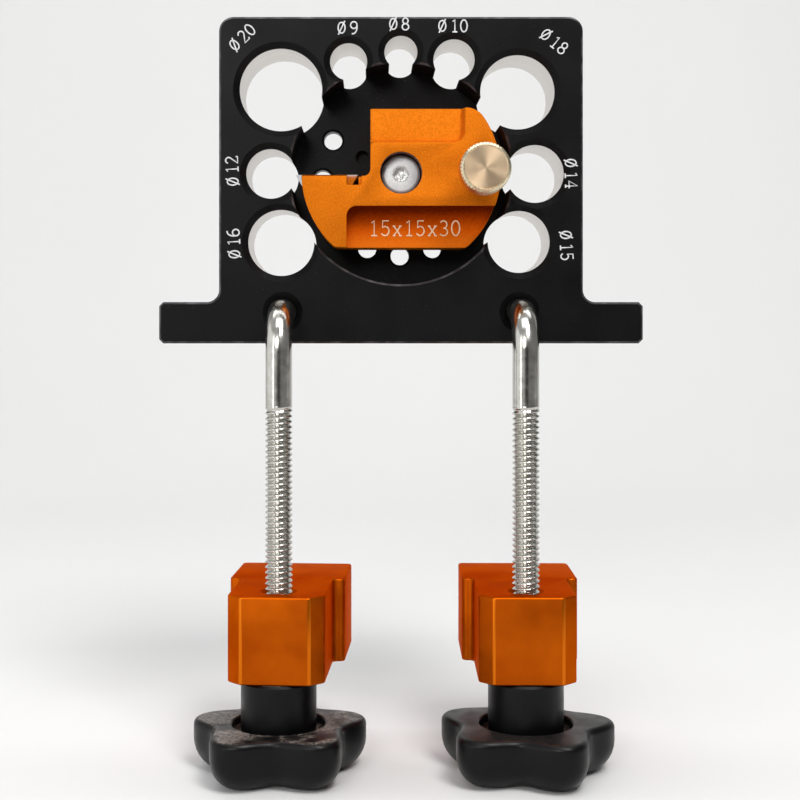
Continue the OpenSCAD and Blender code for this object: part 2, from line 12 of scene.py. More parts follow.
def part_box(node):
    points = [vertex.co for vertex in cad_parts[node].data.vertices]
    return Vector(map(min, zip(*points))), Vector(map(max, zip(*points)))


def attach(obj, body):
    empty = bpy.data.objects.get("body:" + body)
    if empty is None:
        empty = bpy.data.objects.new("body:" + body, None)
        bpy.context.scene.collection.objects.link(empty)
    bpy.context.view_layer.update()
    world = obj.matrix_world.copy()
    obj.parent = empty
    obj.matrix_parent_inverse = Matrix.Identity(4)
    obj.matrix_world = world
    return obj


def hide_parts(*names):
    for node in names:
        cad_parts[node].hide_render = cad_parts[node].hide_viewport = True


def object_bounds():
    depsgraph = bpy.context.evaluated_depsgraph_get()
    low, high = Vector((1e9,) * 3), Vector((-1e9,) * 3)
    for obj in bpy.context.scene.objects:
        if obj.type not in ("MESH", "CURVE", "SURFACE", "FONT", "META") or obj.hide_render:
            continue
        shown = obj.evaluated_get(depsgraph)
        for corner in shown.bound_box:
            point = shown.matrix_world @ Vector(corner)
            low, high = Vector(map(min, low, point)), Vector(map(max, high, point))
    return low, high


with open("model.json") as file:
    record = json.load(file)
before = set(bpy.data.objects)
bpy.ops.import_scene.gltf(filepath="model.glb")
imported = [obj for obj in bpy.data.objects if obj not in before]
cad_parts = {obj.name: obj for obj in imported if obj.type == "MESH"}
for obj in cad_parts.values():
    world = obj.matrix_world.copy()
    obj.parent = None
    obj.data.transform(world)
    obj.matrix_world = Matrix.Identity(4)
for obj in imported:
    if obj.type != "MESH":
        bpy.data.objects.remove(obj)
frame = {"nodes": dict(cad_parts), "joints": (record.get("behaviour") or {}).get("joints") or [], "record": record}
cad_low, cad_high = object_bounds()
joints = {joint["name"]: joint for joint in frame["joints"]}

# The guide plate is one piece of aluminium bar, milled to its T shape with broken edges. The pocket, the
# bores and the index holes are cut from its front, and it is bead blasted and anodised black. The bores
# are reamed after that, so their walls are bare metal.
plate_low, plate_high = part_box("jig_plate")
pivot_z = joints["carriage_swivel"]["pos_m"][2]
plate_side = 0.044
foot_side = plate_high.x
foot_top = 0.010
foot_fillet = 0.003
foot_cut = 0.001
top_corner = 0.0035
broken_edge = 0.0005
mouth_cut = 0.0015
pocket_radius = 0.0268
pocket_floor = 0.005
index_ring = 0.0194
index_radius = 0.0023
index_lead = 0.0005
blind_radius = 0.0017
blind_reach = 0.0109
blind_angle = 150
blind_depth = 0.0025
pivot_thread = 0.00252
hook_hole = 0.00315
hook_lead = 0.0017
cut_over = 0.001
pocket_sides = 192
bore_sides = 128
small_sides = 48


def node(finish, kind, inputs=None, **settings):
    """Adds a shader node. An input is a number, a colour, or the output of another node."""
    made = finish.node_tree.nodes.new("ShaderNode" + kind)
    for name, value in settings.items():
        setattr(made, name, value)
    for name, value in (inputs or {}).items():
        if isinstance(value, bpy.types.NodeSocket):
            finish.node_tree.links.new(value, made.inputs[name])
        else:
            made.inputs[name].default_value = value
    return made


def fix(finish, socket, value):
    """Sets one of the finish's own values, the same all over."""
    finish.node_tree.nodes["Principled BSDF"].inputs[socket].default_value = value


def new_finish(name, colour, metal, roughness):
    """Starts a finish with one even colour."""
    finish = bpy.data.materials.new(name)
    finish.use_nodes = True
    fix(finish, "Base Color", (*colour, 1))
    fix(finish, "Metallic", metal)
    fix(finish, "Roughness", roughness)
    return finish


def drive(finish, socket, value):
    """Lets a node's output set one of the finish's own values."""
    shader = finish.node_tree.nodes["Principled BSDF"]
    finish.node_tree.links.new(value, shader.inputs[socket])


def grain(finish, size, detail=2, stretch=(1, 1, 1)):
    """Noise over the piece with grains of one size, drawn out along the axes with a high stretch."""
    place = node(finish, "TexCoord").outputs["Object"]
    scale = [1 / factor for factor in stretch]
    place = node(finish, "Mapping", {"Vector": place, "Scale": scale}).outputs["Vector"]
    return node(finish, "TexNoise", {"Vector": place, "Scale": 1 / size, "Detail": detail}).outputs["Fac"]


def between(finish, amount, low, high, start=0.3, end=0.7):
    """Turns noise into a value from low to high."""
    spread = {"Value": amount, "From Min": start, "From Max": end, "To Min": low, "To Max": high}
    return node(finish, "MapRange", spread).outputs["Result"]


def colour_by(finish, amount, *stops):
    """Colours the finish by an amount, from one (place, colour) stop to the next."""
    made = node(finish, "ValToRGB", {"Fac": amount})
    band = made.color_ramp.elements
    for place, _ in stops[1:-1]:
        band.new(place)
    for element, (place, colour) in zip(band, stops):
        element.position = place
        element.color = (*colour, 1)
    drive(finish, "Base Color", made.outputs["Color"])


def joined(finish, how, one, other):
    """Two amounts added or multiplied."""
    return node(finish, "Math", {0: one, 1: other}, operation=how).outputs["Value"]


def relief(finish, *layers):
    """Raises the surface by each (noise, height) layer in turn."""
    normal = None
    for amount, height in layers:
        inputs = {"Height": amount, "Distance": height}
        if normal:
            inputs["Normal"] = normal
        normal = node(finish, "Bump", inputs).outputs["Normal"]
    drive(finish, "Normal", normal)


def black_anodise():
    """Blasted and dyed black: a fine even grain, faint clouds and a few pale specks of dust."""
    finish = new_finish("black_anodise", (0.004, 0.004, 0.0045), 0.0, 0.42)
    fix(finish, "Specular IOR Level", 0.14)
    colour_by(finish, grain(finish, 0.0004, 1),
        (0.3, (0.0016, 0.0016, 0.0019)),
        (0.72, (0.0034, 0.0035, 0.0039)),
        (0.80, (0.035, 0.036, 0.038)))
    drive(finish, "Roughness", between(finish, grain(finish, 0.012, 3), 0.36, 0.50))
    relief(finish, (grain(finish, 0.00022), 0.00001))
    return finish


def worn_edge():
    """The broken edges, where the black is rubbed thin in places."""
    finish = new_finish("worn_edge", (0.04, 0.041, 0.044), 0.2, 0.4)
    rubbed = grain(finish, 0.003, 4)
    colour_by(finish, rubbed, (0.45, (0.010, 0.010, 0.012)), (0.75, (0.09, 0.09, 0.095)))
    drive(finish, "Roughness", between(finish, rubbed, 0.46, 0.34))
    return finish


def reamed_wall():
    """Bare aluminium with the reamer's fine rings and faint streaks along the bore."""
    finish = new_finish("reamed_wall", (0.72, 0.70, 0.67), 1.0, 0.32)
    rings = grain(finish, 0.00035, 2, (60, 1, 60))
    streaks = grain(finish, 0.0007, 2, (1, 20, 1))
    colour_by(finish, rings, (0.3, (0.61, 0.575, 0.535)), (0.7, (0.77, 0.75, 0.72)))
    drive(finish, "Roughness", between(finish, rings, 0.28, 0.42))
    relief(finish, (rings, 0.000012), (streaks, 0.0000015))
    return finish


def arc(centre, radius, start, end, steps=12):
    """Points along an arc, with its angles in degrees."""
    angles = [math.radians(start + (end - start) * i / steps) for i in range(steps + 1)]
    return [(centre[0] + radius * math.cos(a), centre[1] + radius * math.sin(a)) for a in angles]


def inset(outline, distance):
    """The outline moved inwards by a distance; it runs anticlockwise."""
    moved = []
    for i, point in enumerate(outline):
        here = Vector(point)
        before = (here - Vector(outline[i - 1])).normalized()
        after = (Vector(outline[(i + 1) % len(outline)]) - here).normalized()
        inward = Vector((-before.y - after.y, before.x + after.x))
        moved.append(tuple(here + inward * distance / (1 + before.dot(after))))
    return moved


def in_space(flat, along, axis):
    """A point of an outline in space: it stands in X and Z along Y, or lies in X and Y along Z."""
    return (flat[0], along, flat[1]) if axis == "Y" else (flat[0], flat[1], along)


def rings_to_shape(rings, looped=False):
    """Points and faces of a skin over rings of equally many points, with flat ends unless it is looped."""
    count = len(rings[0])
    points = [point for ring in rings for point in ring]
    last = len(rings) if looped else len(rings) - 1
    faces = []
    for ring in range(last):
        low, high = ring * count, (ring + 1) % len(rings) * count
        faces += [(low + i, low + (i + 1) % count, high + (i + 1) % count, high + i) for i in range(count)]
    if not looped:
        faces += [tuple(range(count)), tuple(range(len(points) - count, len(points)))]
    return points, faces


def slab(outline, steps, axis="Y"):
    """A prism of the outline through (inset, depth) steps."""
    layers = [(inset(outline, shrink), depth) for shrink, depth in steps]
    return rings_to_shape([[in_space(point, depth, axis) for point in layer] for layer, depth in layers])


def turned(steps, centre, axis="Y", sides=96, ripple=None):
    """A round piece of (radius, depth) steps about a centre; ripple adds to the radius."""
    rings = []
    for radius, depth in steps:
        ring = []
        for i in range(sides):
            a = math.tau * i / sides
            r = radius + ripple(a, depth) if ripple else radius
            ring.append(in_space((centre[0] + r * math.cos(a), centre[1] + r * math.sin(a)), depth, axis))
        rings.append(ring)
    return rings_to_shape(rings)


def rounding(edge, near, far, steps=3):
    """Slab steps with a rounded edge at both ends, between two depths."""
    turns = [math.radians(90 * i / steps) for i in range(steps + 1)]
    first = [(edge * (1 - math.sin(a)), near + edge * (1 - math.cos(a))) for a in turns]
    return first + [(shrink, near + far - depth) for shrink, depth in reversed(first)]


def make_piece(name, shape, *finishes):
    """A mesh of the shape's points and faces, with its finishes; the first covers it all."""
    mesh = bpy.data.meshes.new(name)
    mesh.from_pydata(shape[0], [], shape[1])
    for finish in finishes:
        mesh.materials.append(finish)
    skin = bmesh.new()
    skin.from_mesh(mesh)
    bmesh.ops.recalc_face_normals(skin, faces=skin.faces)
    skin.to_mesh(mesh)
    skin.free()
    piece = bpy.data.objects.new(name, mesh)
    bpy.context.scene.collection.objects.link(piece)
    return piece


def cut(piece, finish, *shapes):
    """Cuts each shape out of the piece and leaves the finish on the walls."""
    tools = [make_piece("tool", shape, finish) for shape in shapes]
    for tool in tools:
        saw = piece.modifiers.new("cut", "BOOLEAN")
        saw.object = tool
        saw.solver = "MANIFOLD"
        saw.material_mode = "TRANSFER"
    bpy.context.view_layer.update()
    result = piece.evaluated_get(bpy.context.evaluated_depsgraph_get())
    piece.data = bpy.data.meshes.new_from_object(result)
    piece.modifiers.clear()
    for tool in tools:
        bpy.data.objects.remove(tool)


def settle(piece, body, slot, *nodes, sharp=32):
    """Smooths edges of less than an angle and puts the piece on its body in place of its CAD nodes."""
    piece.data.shade_smooth()
    piece.data.set_sharp_from_angle(angle=math.radians(sharp))
    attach(piece, body)
    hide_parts(*nodes)


def plate_outline():
    """The T shape seen from the front, anticlockwise from the foot's lower right."""
    right = [
        (foot_side - foot_cut, 0), (foot_side, foot_cut), (foot_side, foot_top - foot_cut),
        (foot_side - foot_cut, foot_top),
        *arc((plate_side + foot_fillet, foot_top + foot_fillet), foot_fillet, 270, 180),
        *arc((plate_side - top_corner, plate_high.z - top_corner), top_corner, 0, 90),
    ]
    return right + [(-x, z) for x, z in reversed(right)]


def hole(centre, radius, lead):
    """The shape of a hole through the plate, with a lead-in cut at the front and a broken back edge."""
    return turned([
        (radius + lead + cut_over, plate_low.y - cut_over),
        (radius, plate_low.y + lead),
        (radius, plate_high.y - broken_edge),
        (radius + broken_edge + cut_over, plate_high.y + cut_over),
    ], centre)


bores = [(Vector((mount["pos_m"][0], mount["pos_m"][2])), mount["dims"]["r_mm"] / 1000)
    for mount in frame["record"]["mounts"] if mount["kind"] == "bore"]
pivot = Vector((0, pivot_z))
plate_black = black_anodise()
edge_black = worn_edge()
plate = make_piece("guide_plate", slab(plate_outline(), [
    (broken_edge, plate_low.y),
    (0, plate_low.y + broken_edge),
    (0, plate_high.y - broken_edge),
    (broken_edge, plate_high.y),
]), plate_black, edge_black)
# The first and third rings of the slab's side faces are its broken edges, at the front and at the back
side_count = len(plate_outline())
for face in plate.data.polygons:
    on_edge = face.index < side_count or 2 * side_count <= face.index < 3 * side_count
    face.material_index = 1 if on_edge else 0
# A lead-in stays this far off the wall behind it, so that the two cuts never share a face
rim_in = broken_edge / 10
mouth_in = cut_over / 10
cut(plate, edge_black, turned([
    (pocket_radius + broken_edge + cut_over, plate_low.y - cut_over),
    (pocket_radius + rim_in, plate_low.y + broken_edge - rim_in),
    (pocket_radius + rim_in, plate_low.y + broken_edge),
], pivot, sides=pocket_sides))
cut(plate, plate_black, turned([
    (pocket_radius, plate_low.y - cut_over),
    (pocket_radius, pocket_floor),
], pivot, sides=pocket_sides))
small_holes = []
for centre, _ in bores:
    across_from_bore = pivot - (centre - pivot).normalized() * index_ring
    small_holes.append(turned([
        (index_radius, pocket_floor - cut_over),
        (index_radius + index_lead, pocket_floor - cut_over / 2),
        (index_radius + index_lead, pocket_floor),
        (index_radius, pocket_floor + index_lead),
        (index_radius, plate_high.y + cut_over),
    ], across_from_bore, sides=small_sides))
small_holes.append(turned([
    (blind_radius, pocket_floor - cut_over),
    (blind_radius, pocket_floor + blind_depth),
], arc(pivot, blind_reach, blind_angle, blind_angle, 1)[0], sides=small_sides))
small_holes.append(turned([
    (pivot_thread, pocket_floor - cut_over),
    (pivot_thread, plate_high.y + cut_over),
], pivot, sides=small_sides))
hook_places = [joints["bolt_swing_" + side]["pos_m"] for side in ("left", "right")]
hook_cuts = [hole((place[0], place[2]), hook_hole, hook_lead) for place in hook_places]
cut(plate, plate_black, *small_holes, *hook_cuts)
cut(plate, plate_black, *[turned([
    (radius + mouth_cut + cut_over, plate_low.y - cut_over),
    (radius + mouth_in, plate_low.y + mouth_cut - mouth_in),
    (radius + mouth_in, plate_low.y + mouth_cut - mouth_in / 2),
], centre, sides=bore_sides) for centre, radius in bores])
cut(plate, reamed_wall(), *[turned([
    (radius, plate_low.y - cut_over),
    (radius, plate_high.y - broken_edge),
    (radius + broken_edge + cut_over, plate_high.y + cut_over),
], centre, sides=bore_sides) for centre, radius in bores])
settle(plate, "guide_plate", "black_anodised", "jig_plate")

# Each bore has its size beside it: white laser marks in plain numerals with small feet, about 3 mm high,
# burnt into the black on the front face.
mark_height = 0.0029
mark_stroke = 0.00017
mark_step = 0.00227
sign_step = 0.00295
mark_rise = 0.00002
# Each mark's middle, across and up from its bore's centre, and its turn in degrees
mark_places = {
    8: (-0.0004, 0.0066, 0), 9: (-0.0002, 0.0080, 0), 10: (-0.0003, 0.0080, 0), 12: (-0.0093, 0.0006, 93),
    14: (0.0086, -0.0001, -88), 15: (0.0114, -0.0010, -87), 16: (-0.0114, -0.0002, 93),
    18: (0.0088, 0.0121, -39), 20: (-0.0093, 0.0125, 45),
}


def white_mark():
    """Bare oxide left by the laser, off white and dull, a little uneven."""
    finish = new_finish("white_mark", (0.60, 0.60, 0.61), 0.0, 0.6)
    uneven = grain(finish, 0.0003)
    colour_by(finish, uneven, (0.3, (0.48, 0.48, 0.50)), (0.7, (0.72, 0.72, 0.73)))
    return finish


def oval(x, y, wide, high, start=0, end=360, steps=20):
    """Points on an oval of a numeral, in shares of its height."""
    angles = [math.radians(start + (end - start) * i / steps) for i in range(steps + 1)]
    return [(x + wide * math.cos(a), y + high * math.sin(a)) for a in angles]


def strokes_of(sign):
    """The pen strokes of a sign about its middle, in shares of its height."""
    return {
        "0": [oval(0, 0, 0.27, 0.5)],
        "1": [[(-0.15, 0.36), (0.03, 0.5), (0.03, -0.5)], [(-0.17, -0.5), (0.23, -0.5)]],
        "2": [oval(-0.01, 0.25, 0.24, 0.25, 165, -35, 14) + [(-0.27, -0.5), (0.25, -0.5), (0.28, -0.36)]],
        "3": [oval(-0.03, 0.25, 0.23, 0.25, 150, -90, 14), oval(-0.03, -0.25, 0.27, 0.25, 90, -150, 14)],
        "4": [[(0.12, -0.5), (0.12, 0.5), (-0.30, -0.2), (0.30, -0.2)], [(-0.02, -0.5), (0.26, -0.5)]],
        "5": [[(0.22, 0.5), (-0.18, 0.5), (-0.21, 0.04)] + oval(-0.03, -0.19, 0.27, 0.31, 125, -150, 16)],
        "6": [oval(0.08, -0.1, 0.36, 0.6, 75, 180, 10), oval(0, -0.22, 0.27, 0.28)],
        "8": [oval(0, 0.26, 0.22, 0.24), oval(0, -0.24, 0.27, 0.26)],
        "9": [oval(-0.08, 0.1, 0.36, 0.6, 255, 360, 10), oval(0, 0.22, 0.27, 0.28)],
        "x": [[(-0.22, -0.5), (0.22, 0.14)], [(-0.22, 0.14), (0.22, -0.5)], [(-0.3, -0.5), (-0.12, -0.5)],
            [(0.12, -0.5), (0.3, -0.5)], [(-0.3, 0.14), (-0.12, 0.14)], [(0.12, 0.14), (0.3, 0.14)]],
        "Ø": [oval(0, 0, 0.29, 0.45), [(-0.27, -0.58), (0.27, 0.58)]],
    }[sign]


def write_signs(name, signs, height, stroke, finish):
    """Signs written with a round pen, each (sign, distance along the line)."""
    pen = bpy.data.curves.new(name, "CURVE")
    pen.dimensions = "3D"
    pen.bevel_depth = stroke
    pen.bevel_resolution = 2
    pen.use_fill_caps = True
    pen.materials.append(finish)
    for sign, along in signs:
        for stroke_points in strokes_of(sign):
            closed = math.dist(stroke_points[0], stroke_points[-1]) < 0.001
            drawn = stroke_points[:-1] if closed else stroke_points
            line = pen.splines.new("POLY")
            line.points.add(len(drawn) - 1)
            for point, (x, y) in zip(line.points, drawn):
                point.co = (along + x * height, y * height, 0, 1)
            line.use_cyclic_u = closed
    written = bpy.data.objects.new(name, pen)
    bpy.context.scene.collection.objects.link(written)
    return written


def lay_on_front(written, centre, depth, angle, stroke, rise):
    """Presses the signs almost flat onto a face that looks forward, turned by an angle."""
    flat = Matrix.Diagonal((1, 1, rise / stroke, 1))
    turn = Matrix.Rotation(math.radians(angle), 4, "Z")
    stand = Matrix.Rotation(math.radians(90), 4, "X")
    written.matrix_world = Matrix.Translation((centre[0], depth, centre[1])) @ stand @ turn @ flat


mark_white = white_mark()
for centre, radius in bores:
    size = round(2000 * radius)
    across, up, angle = mark_places[size]
    number = str(size)
    length = sign_step + mark_step * (len(number) - 1)
    signs = [("Ø", -length / 2)]
    signs += [(digit, -length / 2 + sign_step + mark_step * i) for i, digit in enumerate(number)]
    mark = write_signs(f"size_mark_{size}", signs, mark_height, mark_stroke, mark_white)
    lay_on_front(mark, (centre.x + across, centre.y + up), plate_low.y, angle, mark_stroke, mark_rise)
    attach(mark, "guide_plate")

# The pivot screw is a stainless shoulder screw with a hexagon socket. The carriage turns on its shoulder,
# and a thin spring washer under its head takes up the play.
screw_low, screw_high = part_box("pivot_screw")
head_radius = screw_high.x
head_height = 0.003
shoulder_radius = 0.00325
# The head's crowned edge, in from its side and back from its front
head_crown = [(0.00085, 0), (0.0006, 0.00005), (0.00015, 0.0004), (0, 0.0007)]
head_break = 0.0001
screw_end_radius = 0.0025
socket_flat = 0.0015
socket_depth = 0.002
socket_mouth = 0.00203
socket_sides = 64


def satin_steel():
    """Stainless steel with the lathe's faint rings and a dull, even gleam."""
    finish = new_finish("satin_steel", (0.90, 0.90, 0.89), 0.55, 0.45)
    spots = grain(finish, 0.0006, 3)
    colour_by(finish, spots, (0.3, (0.84, 0.84, 0.83)), (0.7, (0.95, 0.95, 0.94)))
    drive(finish, "Roughness", between(finish, grain(finish, 0.002, 3), 0.40, 0.50))
    relief(finish, (grain(finish, 0.00018), 0.000008))
    return finish


def polished_socket():
    """The socket's pressed walls, smooth and bright."""
    finish = new_finish("polished_socket", (0.95, 0.95, 0.93), 0.5, 0.3)
    drive(finish, "Roughness", between(finish, grain(finish, 0.0005, 2), 0.15, 0.45))
    relief(finish, (grain(finish, 0.0004, 2), 0.00012))
    return finish


def hexagon(centre, flat, near, far):
    """A six-sided prism along Y by the distance from its middle to a flat."""
    corners = arc(centre, flat / math.cos(math.radians(30)), 0, 300, 5)
    return slab(corners, [(0, near), (0, far)])


def give_finish(node_name, finish):
    """Puts a finish on a piece that keeps its CAD shape."""
    materials = frame["nodes"][node_name].data.materials
    materials.clear()
    materials.append(finish)


steel = satin_steel()
head_front = screw_low.y
head_back = head_front + head_height
pivot_screw = make_piece("pivot_shoulder_screw", turned([
    *[(head_radius - inwards, head_front + backwards) for inwards, backwards in head_crown],
    (head_radius, head_back - head_break),
    (head_radius - head_break, head_back),
    (shoulder_radius, head_back),
    (shoulder_radius, pocket_floor),
    (screw_end_radius, pocket_floor),
    (screw_end_radius, screw_high.y),
], pivot, sides=bore_sides), steel)
cut(pivot_screw, polished_socket(),
    hexagon(pivot, socket_flat, head_front - cut_over, head_front + socket_depth),
    turned([
        (socket_mouth + cut_over, head_front - cut_over),
        (socket_mouth / 3, head_front + socket_mouth * 2 / 3),
    ], pivot, sides=socket_sides))
settle(pivot_screw, "guide_plate", "bright_steel", "pivot_screw")
give_finish("wave_washer", steel)

# The blade carriage is milled from aluminium bar, bead blasted and anodised orange. Its arm carries the
# cutter behind a thin lip, a step and a recess lighten its face, and its counterbore hides the pivot head.
carriage_low, carriage_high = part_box("blade_carriage")
carriage_radius = 0.024
carriage_top = carriage_high.z - pivot_z
carriage_bottom = pivot_z - carriage_low.z
low_corner = 0.0018
high_corner = 0.005
carriage_edge = 0.00022
body_left = 0.0074
arm_corner = 0.0017
arm_drop = 0.00075
lip = 0.0015
notch_width = 0.0035
notch_depth = 0.0025
seat_gap = 0.00015
step_depth = 0.0025
step_height = 0.0084
step_width = 0.0228
step_corner = 0.0026
step_lean = 0.0008
step_end_radius = 0.0011
recess_depth = 0.0045
recess_height = 0.0099
recess_left = 0.0131
recess_corner = 0.0024
beyond_edge = 0.05
beyond_arm = -0.03
counterbore = 0.005
web_front = -0.0039
shoulder_bore = 0.0033
thumb_hole = 0.00305
carriage_front = carriage_low.y
cutter_low, cutter_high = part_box("cutter_insert")


def orange_anodise():
    """Blasted and dyed orange: the grain sparkles finely, and the colour drifts a little."""
    finish = new_finish("orange_anodise", (0.90, 0.25, 0.010), 1.0, 0.75)
    fix(finish, "Specular Tint", (1, 0.45, 0.15, 1))
    fine = grain(finish, 0.00038, 2)
    mixed = joined(finish, "ADD", fine, between(finish, grain(finish, 0.006, 3), -0.05, 0.05))
    colour_by(finish, mixed, (0.34, (0.57, 0.158, 0.006)), (0.66, (0.75, 0.245, 0.013)))
    drive(finish, "Roughness", between(finish, fine, 0.70, 0.80))
    relief(finish, (grain(finish, 0.0003, 1), 0.000024))
    return finish


def recess_anodise():
    """The recess, a deeper orange, painted darker towards its upper wall as the shadow that wall casts."""
    finish = new_finish("recess_anodise", (0.60, 0.12, 0.004), 1.0, 0.72)
    fix(finish, "Specular Tint", (1, 0.45, 0.15, 1))
    place = node(finish, "TexCoord").outputs["Object"]
    height = node(finish, "SeparateXYZ", {"Vector": place}).outputs["Z"]
    # The colour is painted darker towards the recess's upper wall: the painted shadow of that wall.
    wall_shadow_amount = between(finish, height, 0, 1, carriage_low.z, carriage_low.z + recess_height)
    fine = grain(finish, 0.00038, 2)
    mixed = joined(finish, "ADD", wall_shadow_amount, between(finish, fine, -0.05, 0.05))
    colour_by(finish, mixed,
        (0.10, (0.84, 0.230, 0.013)),
        (0.42, (0.74, 0.145, 0.005)),
        (0.58, (0.60, 0.098, 0.003)),
        (0.74, (0.42, 0.056, 0.0014)),
        (0.95, (0.23, 0.022, 0.0005)))
    drive(finish, "Roughness", between(finish, fine, 0.70, 0.80))
    relief(finish, (grain(finish, 0.0003, 1), 0.000024))
    return finish


def greased_bore():
    """The walls of the carriage's bores, painted dark brown as shade."""
    finish = new_finish("greased_bore", (0.05, 0.006, 0.001), 0.2, 0.5)
    patches = grain(finish, 0.0012, 2)
    colour_by(finish, patches, (0.3, (0.03, 0.003, 0.001)), (0.7, (0.09, 0.011, 0.002)))
    return finish


def carriage_outline():
    """The carriage seen from the front about its pivot, anticlockwise from its lower left."""
    top_up = carriage_top - high_corner
    low_up = low_corner - carriage_bottom
    top_across = math.sqrt((carriage_radius - high_corner) ** 2 - top_up ** 2)
    low_across = math.sqrt((carriage_radius - low_corner) ** 2 - low_up ** 2)
    top_angle = math.degrees(math.atan2(top_up, top_across))
    low_angle = math.degrees(math.atan2(low_up, low_across))
    tip_angle = 180 + math.degrees(math.asin(arm_drop / carriage_radius))
    flat = [
        *arc((-low_across, low_up), low_corner, 180 - low_angle, 270, 6),
        *arc((low_across, low_up), low_corner, 270, 360 + low_angle, 6),
        *arc((0, 0), carriage_radius, low_angle, top_angle, 60)[1:],
        *arc((top_across, top_up), high_corner, top_angle, 90, 12)[1:],
        (-body_left, carriage_top),
        *arc((-body_left - arm_corner, arm_corner - arm_drop), arm_corner, 0, -90, 8),
        *arc((0, 0), carriage_radius, tip_angle, 180 - low_angle, 40)[:-1],
    ]
    return [(x, z + pivot_z) for x, z in flat]


def open_recess(corner, up, radius, depth, lean=0):
    """A square pocket in the carriage's face with its one inner corner rounded. Where up is 1 it opens
    upwards and to the left, and where up is -1 downwards and to the right."""
    x, z = corner
    far_x = x - up * beyond_edge
    far_z = z + up * beyond_edge
    start = 360 if up > 0 else 180
    turn = arc((x - up * radius, z + up * radius), radius, start, start - 90, 10)
    outline = [*turn, (far_x, z), (far_x, far_z), (x, far_z)]
    return slab(outline[::-1], [
        (0, carriage_front - cut_over),
        (0, carriage_front),
        (lean, carriage_front + depth),
    ])


def box_shape(low, high):
    """A plain block between two corners."""
    corners = [(low[0], low[2]), (high[0], low[2]), (high[0], high[2]), (low[0], high[2])]
    return slab(corners, [(0, low[1]), (0, high[1])])


orange = orange_anodise()
carriage_end = carriage_high.y + cut_over
seat_top = cutter_high.z + cut_over
seat_right = cutter_high.x + seat_gap
notch_right = cutter_high.x + notch_width / 4
step_up = carriage_high.z - step_height
step_end = (step_end_radius - body_left, step_up - step_end_radius)
thumb_centre = Vector((index_ring, pivot_z))
carriage_bar = slab(carriage_outline(), [(0, carriage_front), (0, carriage_high.y)])
carriage = make_piece("carriage_body", carriage_bar, orange)
cut(carriage, orange,
    open_recess((step_width - body_left, step_up), 1, step_corner, step_depth, step_lean),
    box_shape((beyond_arm, carriage_front + lip, cutter_low.z), (seat_right, carriage_end, seat_top)),
    box_shape((notch_right - notch_width, carriage_front - cut_over, cutter_low.z),
        (notch_right, carriage_front + notch_depth, seat_top)))
# The step runs out to the left over a rounded end
end_rings = []
for radius, depth in (
    (step_end_radius, carriage_front - cut_over),
    (step_end_radius, carriage_front),
    (step_end_radius + step_lean, carriage_front + step_depth),
):
    around = [
        (-body_left - 2 * cut_over, step_end[1]),
        *arc(step_end, radius, 180, 90, 8),
        (step_end[0], step_up + 2 * cut_over),
        (-body_left - 2 * cut_over, step_up + 2 * cut_over),
    ]
    end_rings.append([in_space(point, depth, "Y") for point in around])
cut(carriage, orange, rings_to_shape(end_rings))
# The recess's floor and walls take the orange with the painted shadow under its upper wall.
cut(carriage, recess_anodise(),
    open_recess((-recess_left, carriage_low.z + recess_height), -1, recess_corner, recess_depth))
# The walls of the counterbore, the shoulder bore and the thumbscrew's hole are painted dark brown as shade.
cut(carriage, greased_bore(),
    turned([(counterbore, carriage_front - cut_over), (counterbore, web_front)], pivot, sides=bore_sides),
    turned([(shoulder_bore, web_front - cut_over), (shoulder_bore, carriage_end)], pivot),
    turned([(thumb_hole, carriage_front - cut_over), (thumb_hole, carriage_end)], thumb_centre))


def soften(piece, width):
    """Rounds the piece's sharp edges a little, as blasting leaves them."""
    rounded = piece.modifiers.new("soften", "BEVEL")
    rounded.width = width
    rounded.segments = 2
    rounded.limit_method = "ANGLE"
    rounded.angle_limit = math.radians(40)
    rounded.use_clamp_overlap = False
    bpy.context.view_layer.update()
    result = piece.evaluated_get(bpy.context.evaluated_depsgraph_get())
    piece.data = bpy.data.meshes.new_from_object(result)
    piece.modifiers.clear()


soften(carriage, carriage_edge)
settle(carriage, "carriage", "orange_anodised", "blade_carriage")

# The cutter's own size, side by side by relief angle, is engraved in the recess: thin bare lines that cut
# through the orange.
engraved_height = 0.0036
engraved_stroke = 0.00017
engraved_step = 0.00285
engraved_middle = (0.0034, pivot_z - 0.0131)


def engraved_line():
    """Bare aluminium at the bottom of the engraving, dulled and warm beside the orange."""
    finish = new_finish("engraved_line", (0.72, 0.50, 0.34), 0.3, 0.5)
    uneven = grain(finish, 0.0003)
    colour_by(finish, uneven, (0.3, (0.66, 0.42, 0.25)), (0.7, (0.90, 0.66, 0.44)))
    return finish


cutter_size = "15x15x30"
signs = [(sign, engraved_step * (i - (len(cutter_size) - 1) / 2)) for i, sign in enumerate(cutter_size)]
engraving = write_signs("cutter_size_mark", signs, engraved_height, engraved_stroke, engraved_line())
lay_on_front(engraving, engraved_middle, carriage_front + recess_depth, 0, engraved_stroke, mark_rise)
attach(engraving, "carriage")

# The cutter is a square carbide tip with a ground relief on all four sides. A countersunk screw with a
# six-lobed socket holds it in its seat behind the lip.
relief_angle = 30
land = 0.00015
land_in = 0.00009
cutter_screw_radius = 0.002
cutter_head_radius = 0.0033
head_bevel = 0.00008
head_rim = 0.0002
key_radius = 0.0012
key_depth = 0.0013
key_wave = 0.00018
cutter_screw_low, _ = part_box("cutter_screw")


def ground_carbide():
    """Fine-ground carbide: grey, nearly a mirror, with straight grinding lines."""
    finish = new_finish("ground_carbide", (0.55, 0.56, 0.58), 1.0, 0.2)
    lines = grain(finish, 0.00012, 2, (1, 40, 1))
    colour_by(finish, lines, (0.3, (0.46, 0.47, 0.49)), (0.7, (0.64, 0.65, 0.67)))
    drive(finish, "Roughness", between(finish, lines, 0.14, 0.28))
    relief(finish, (lines, 0.000003))
    return finish


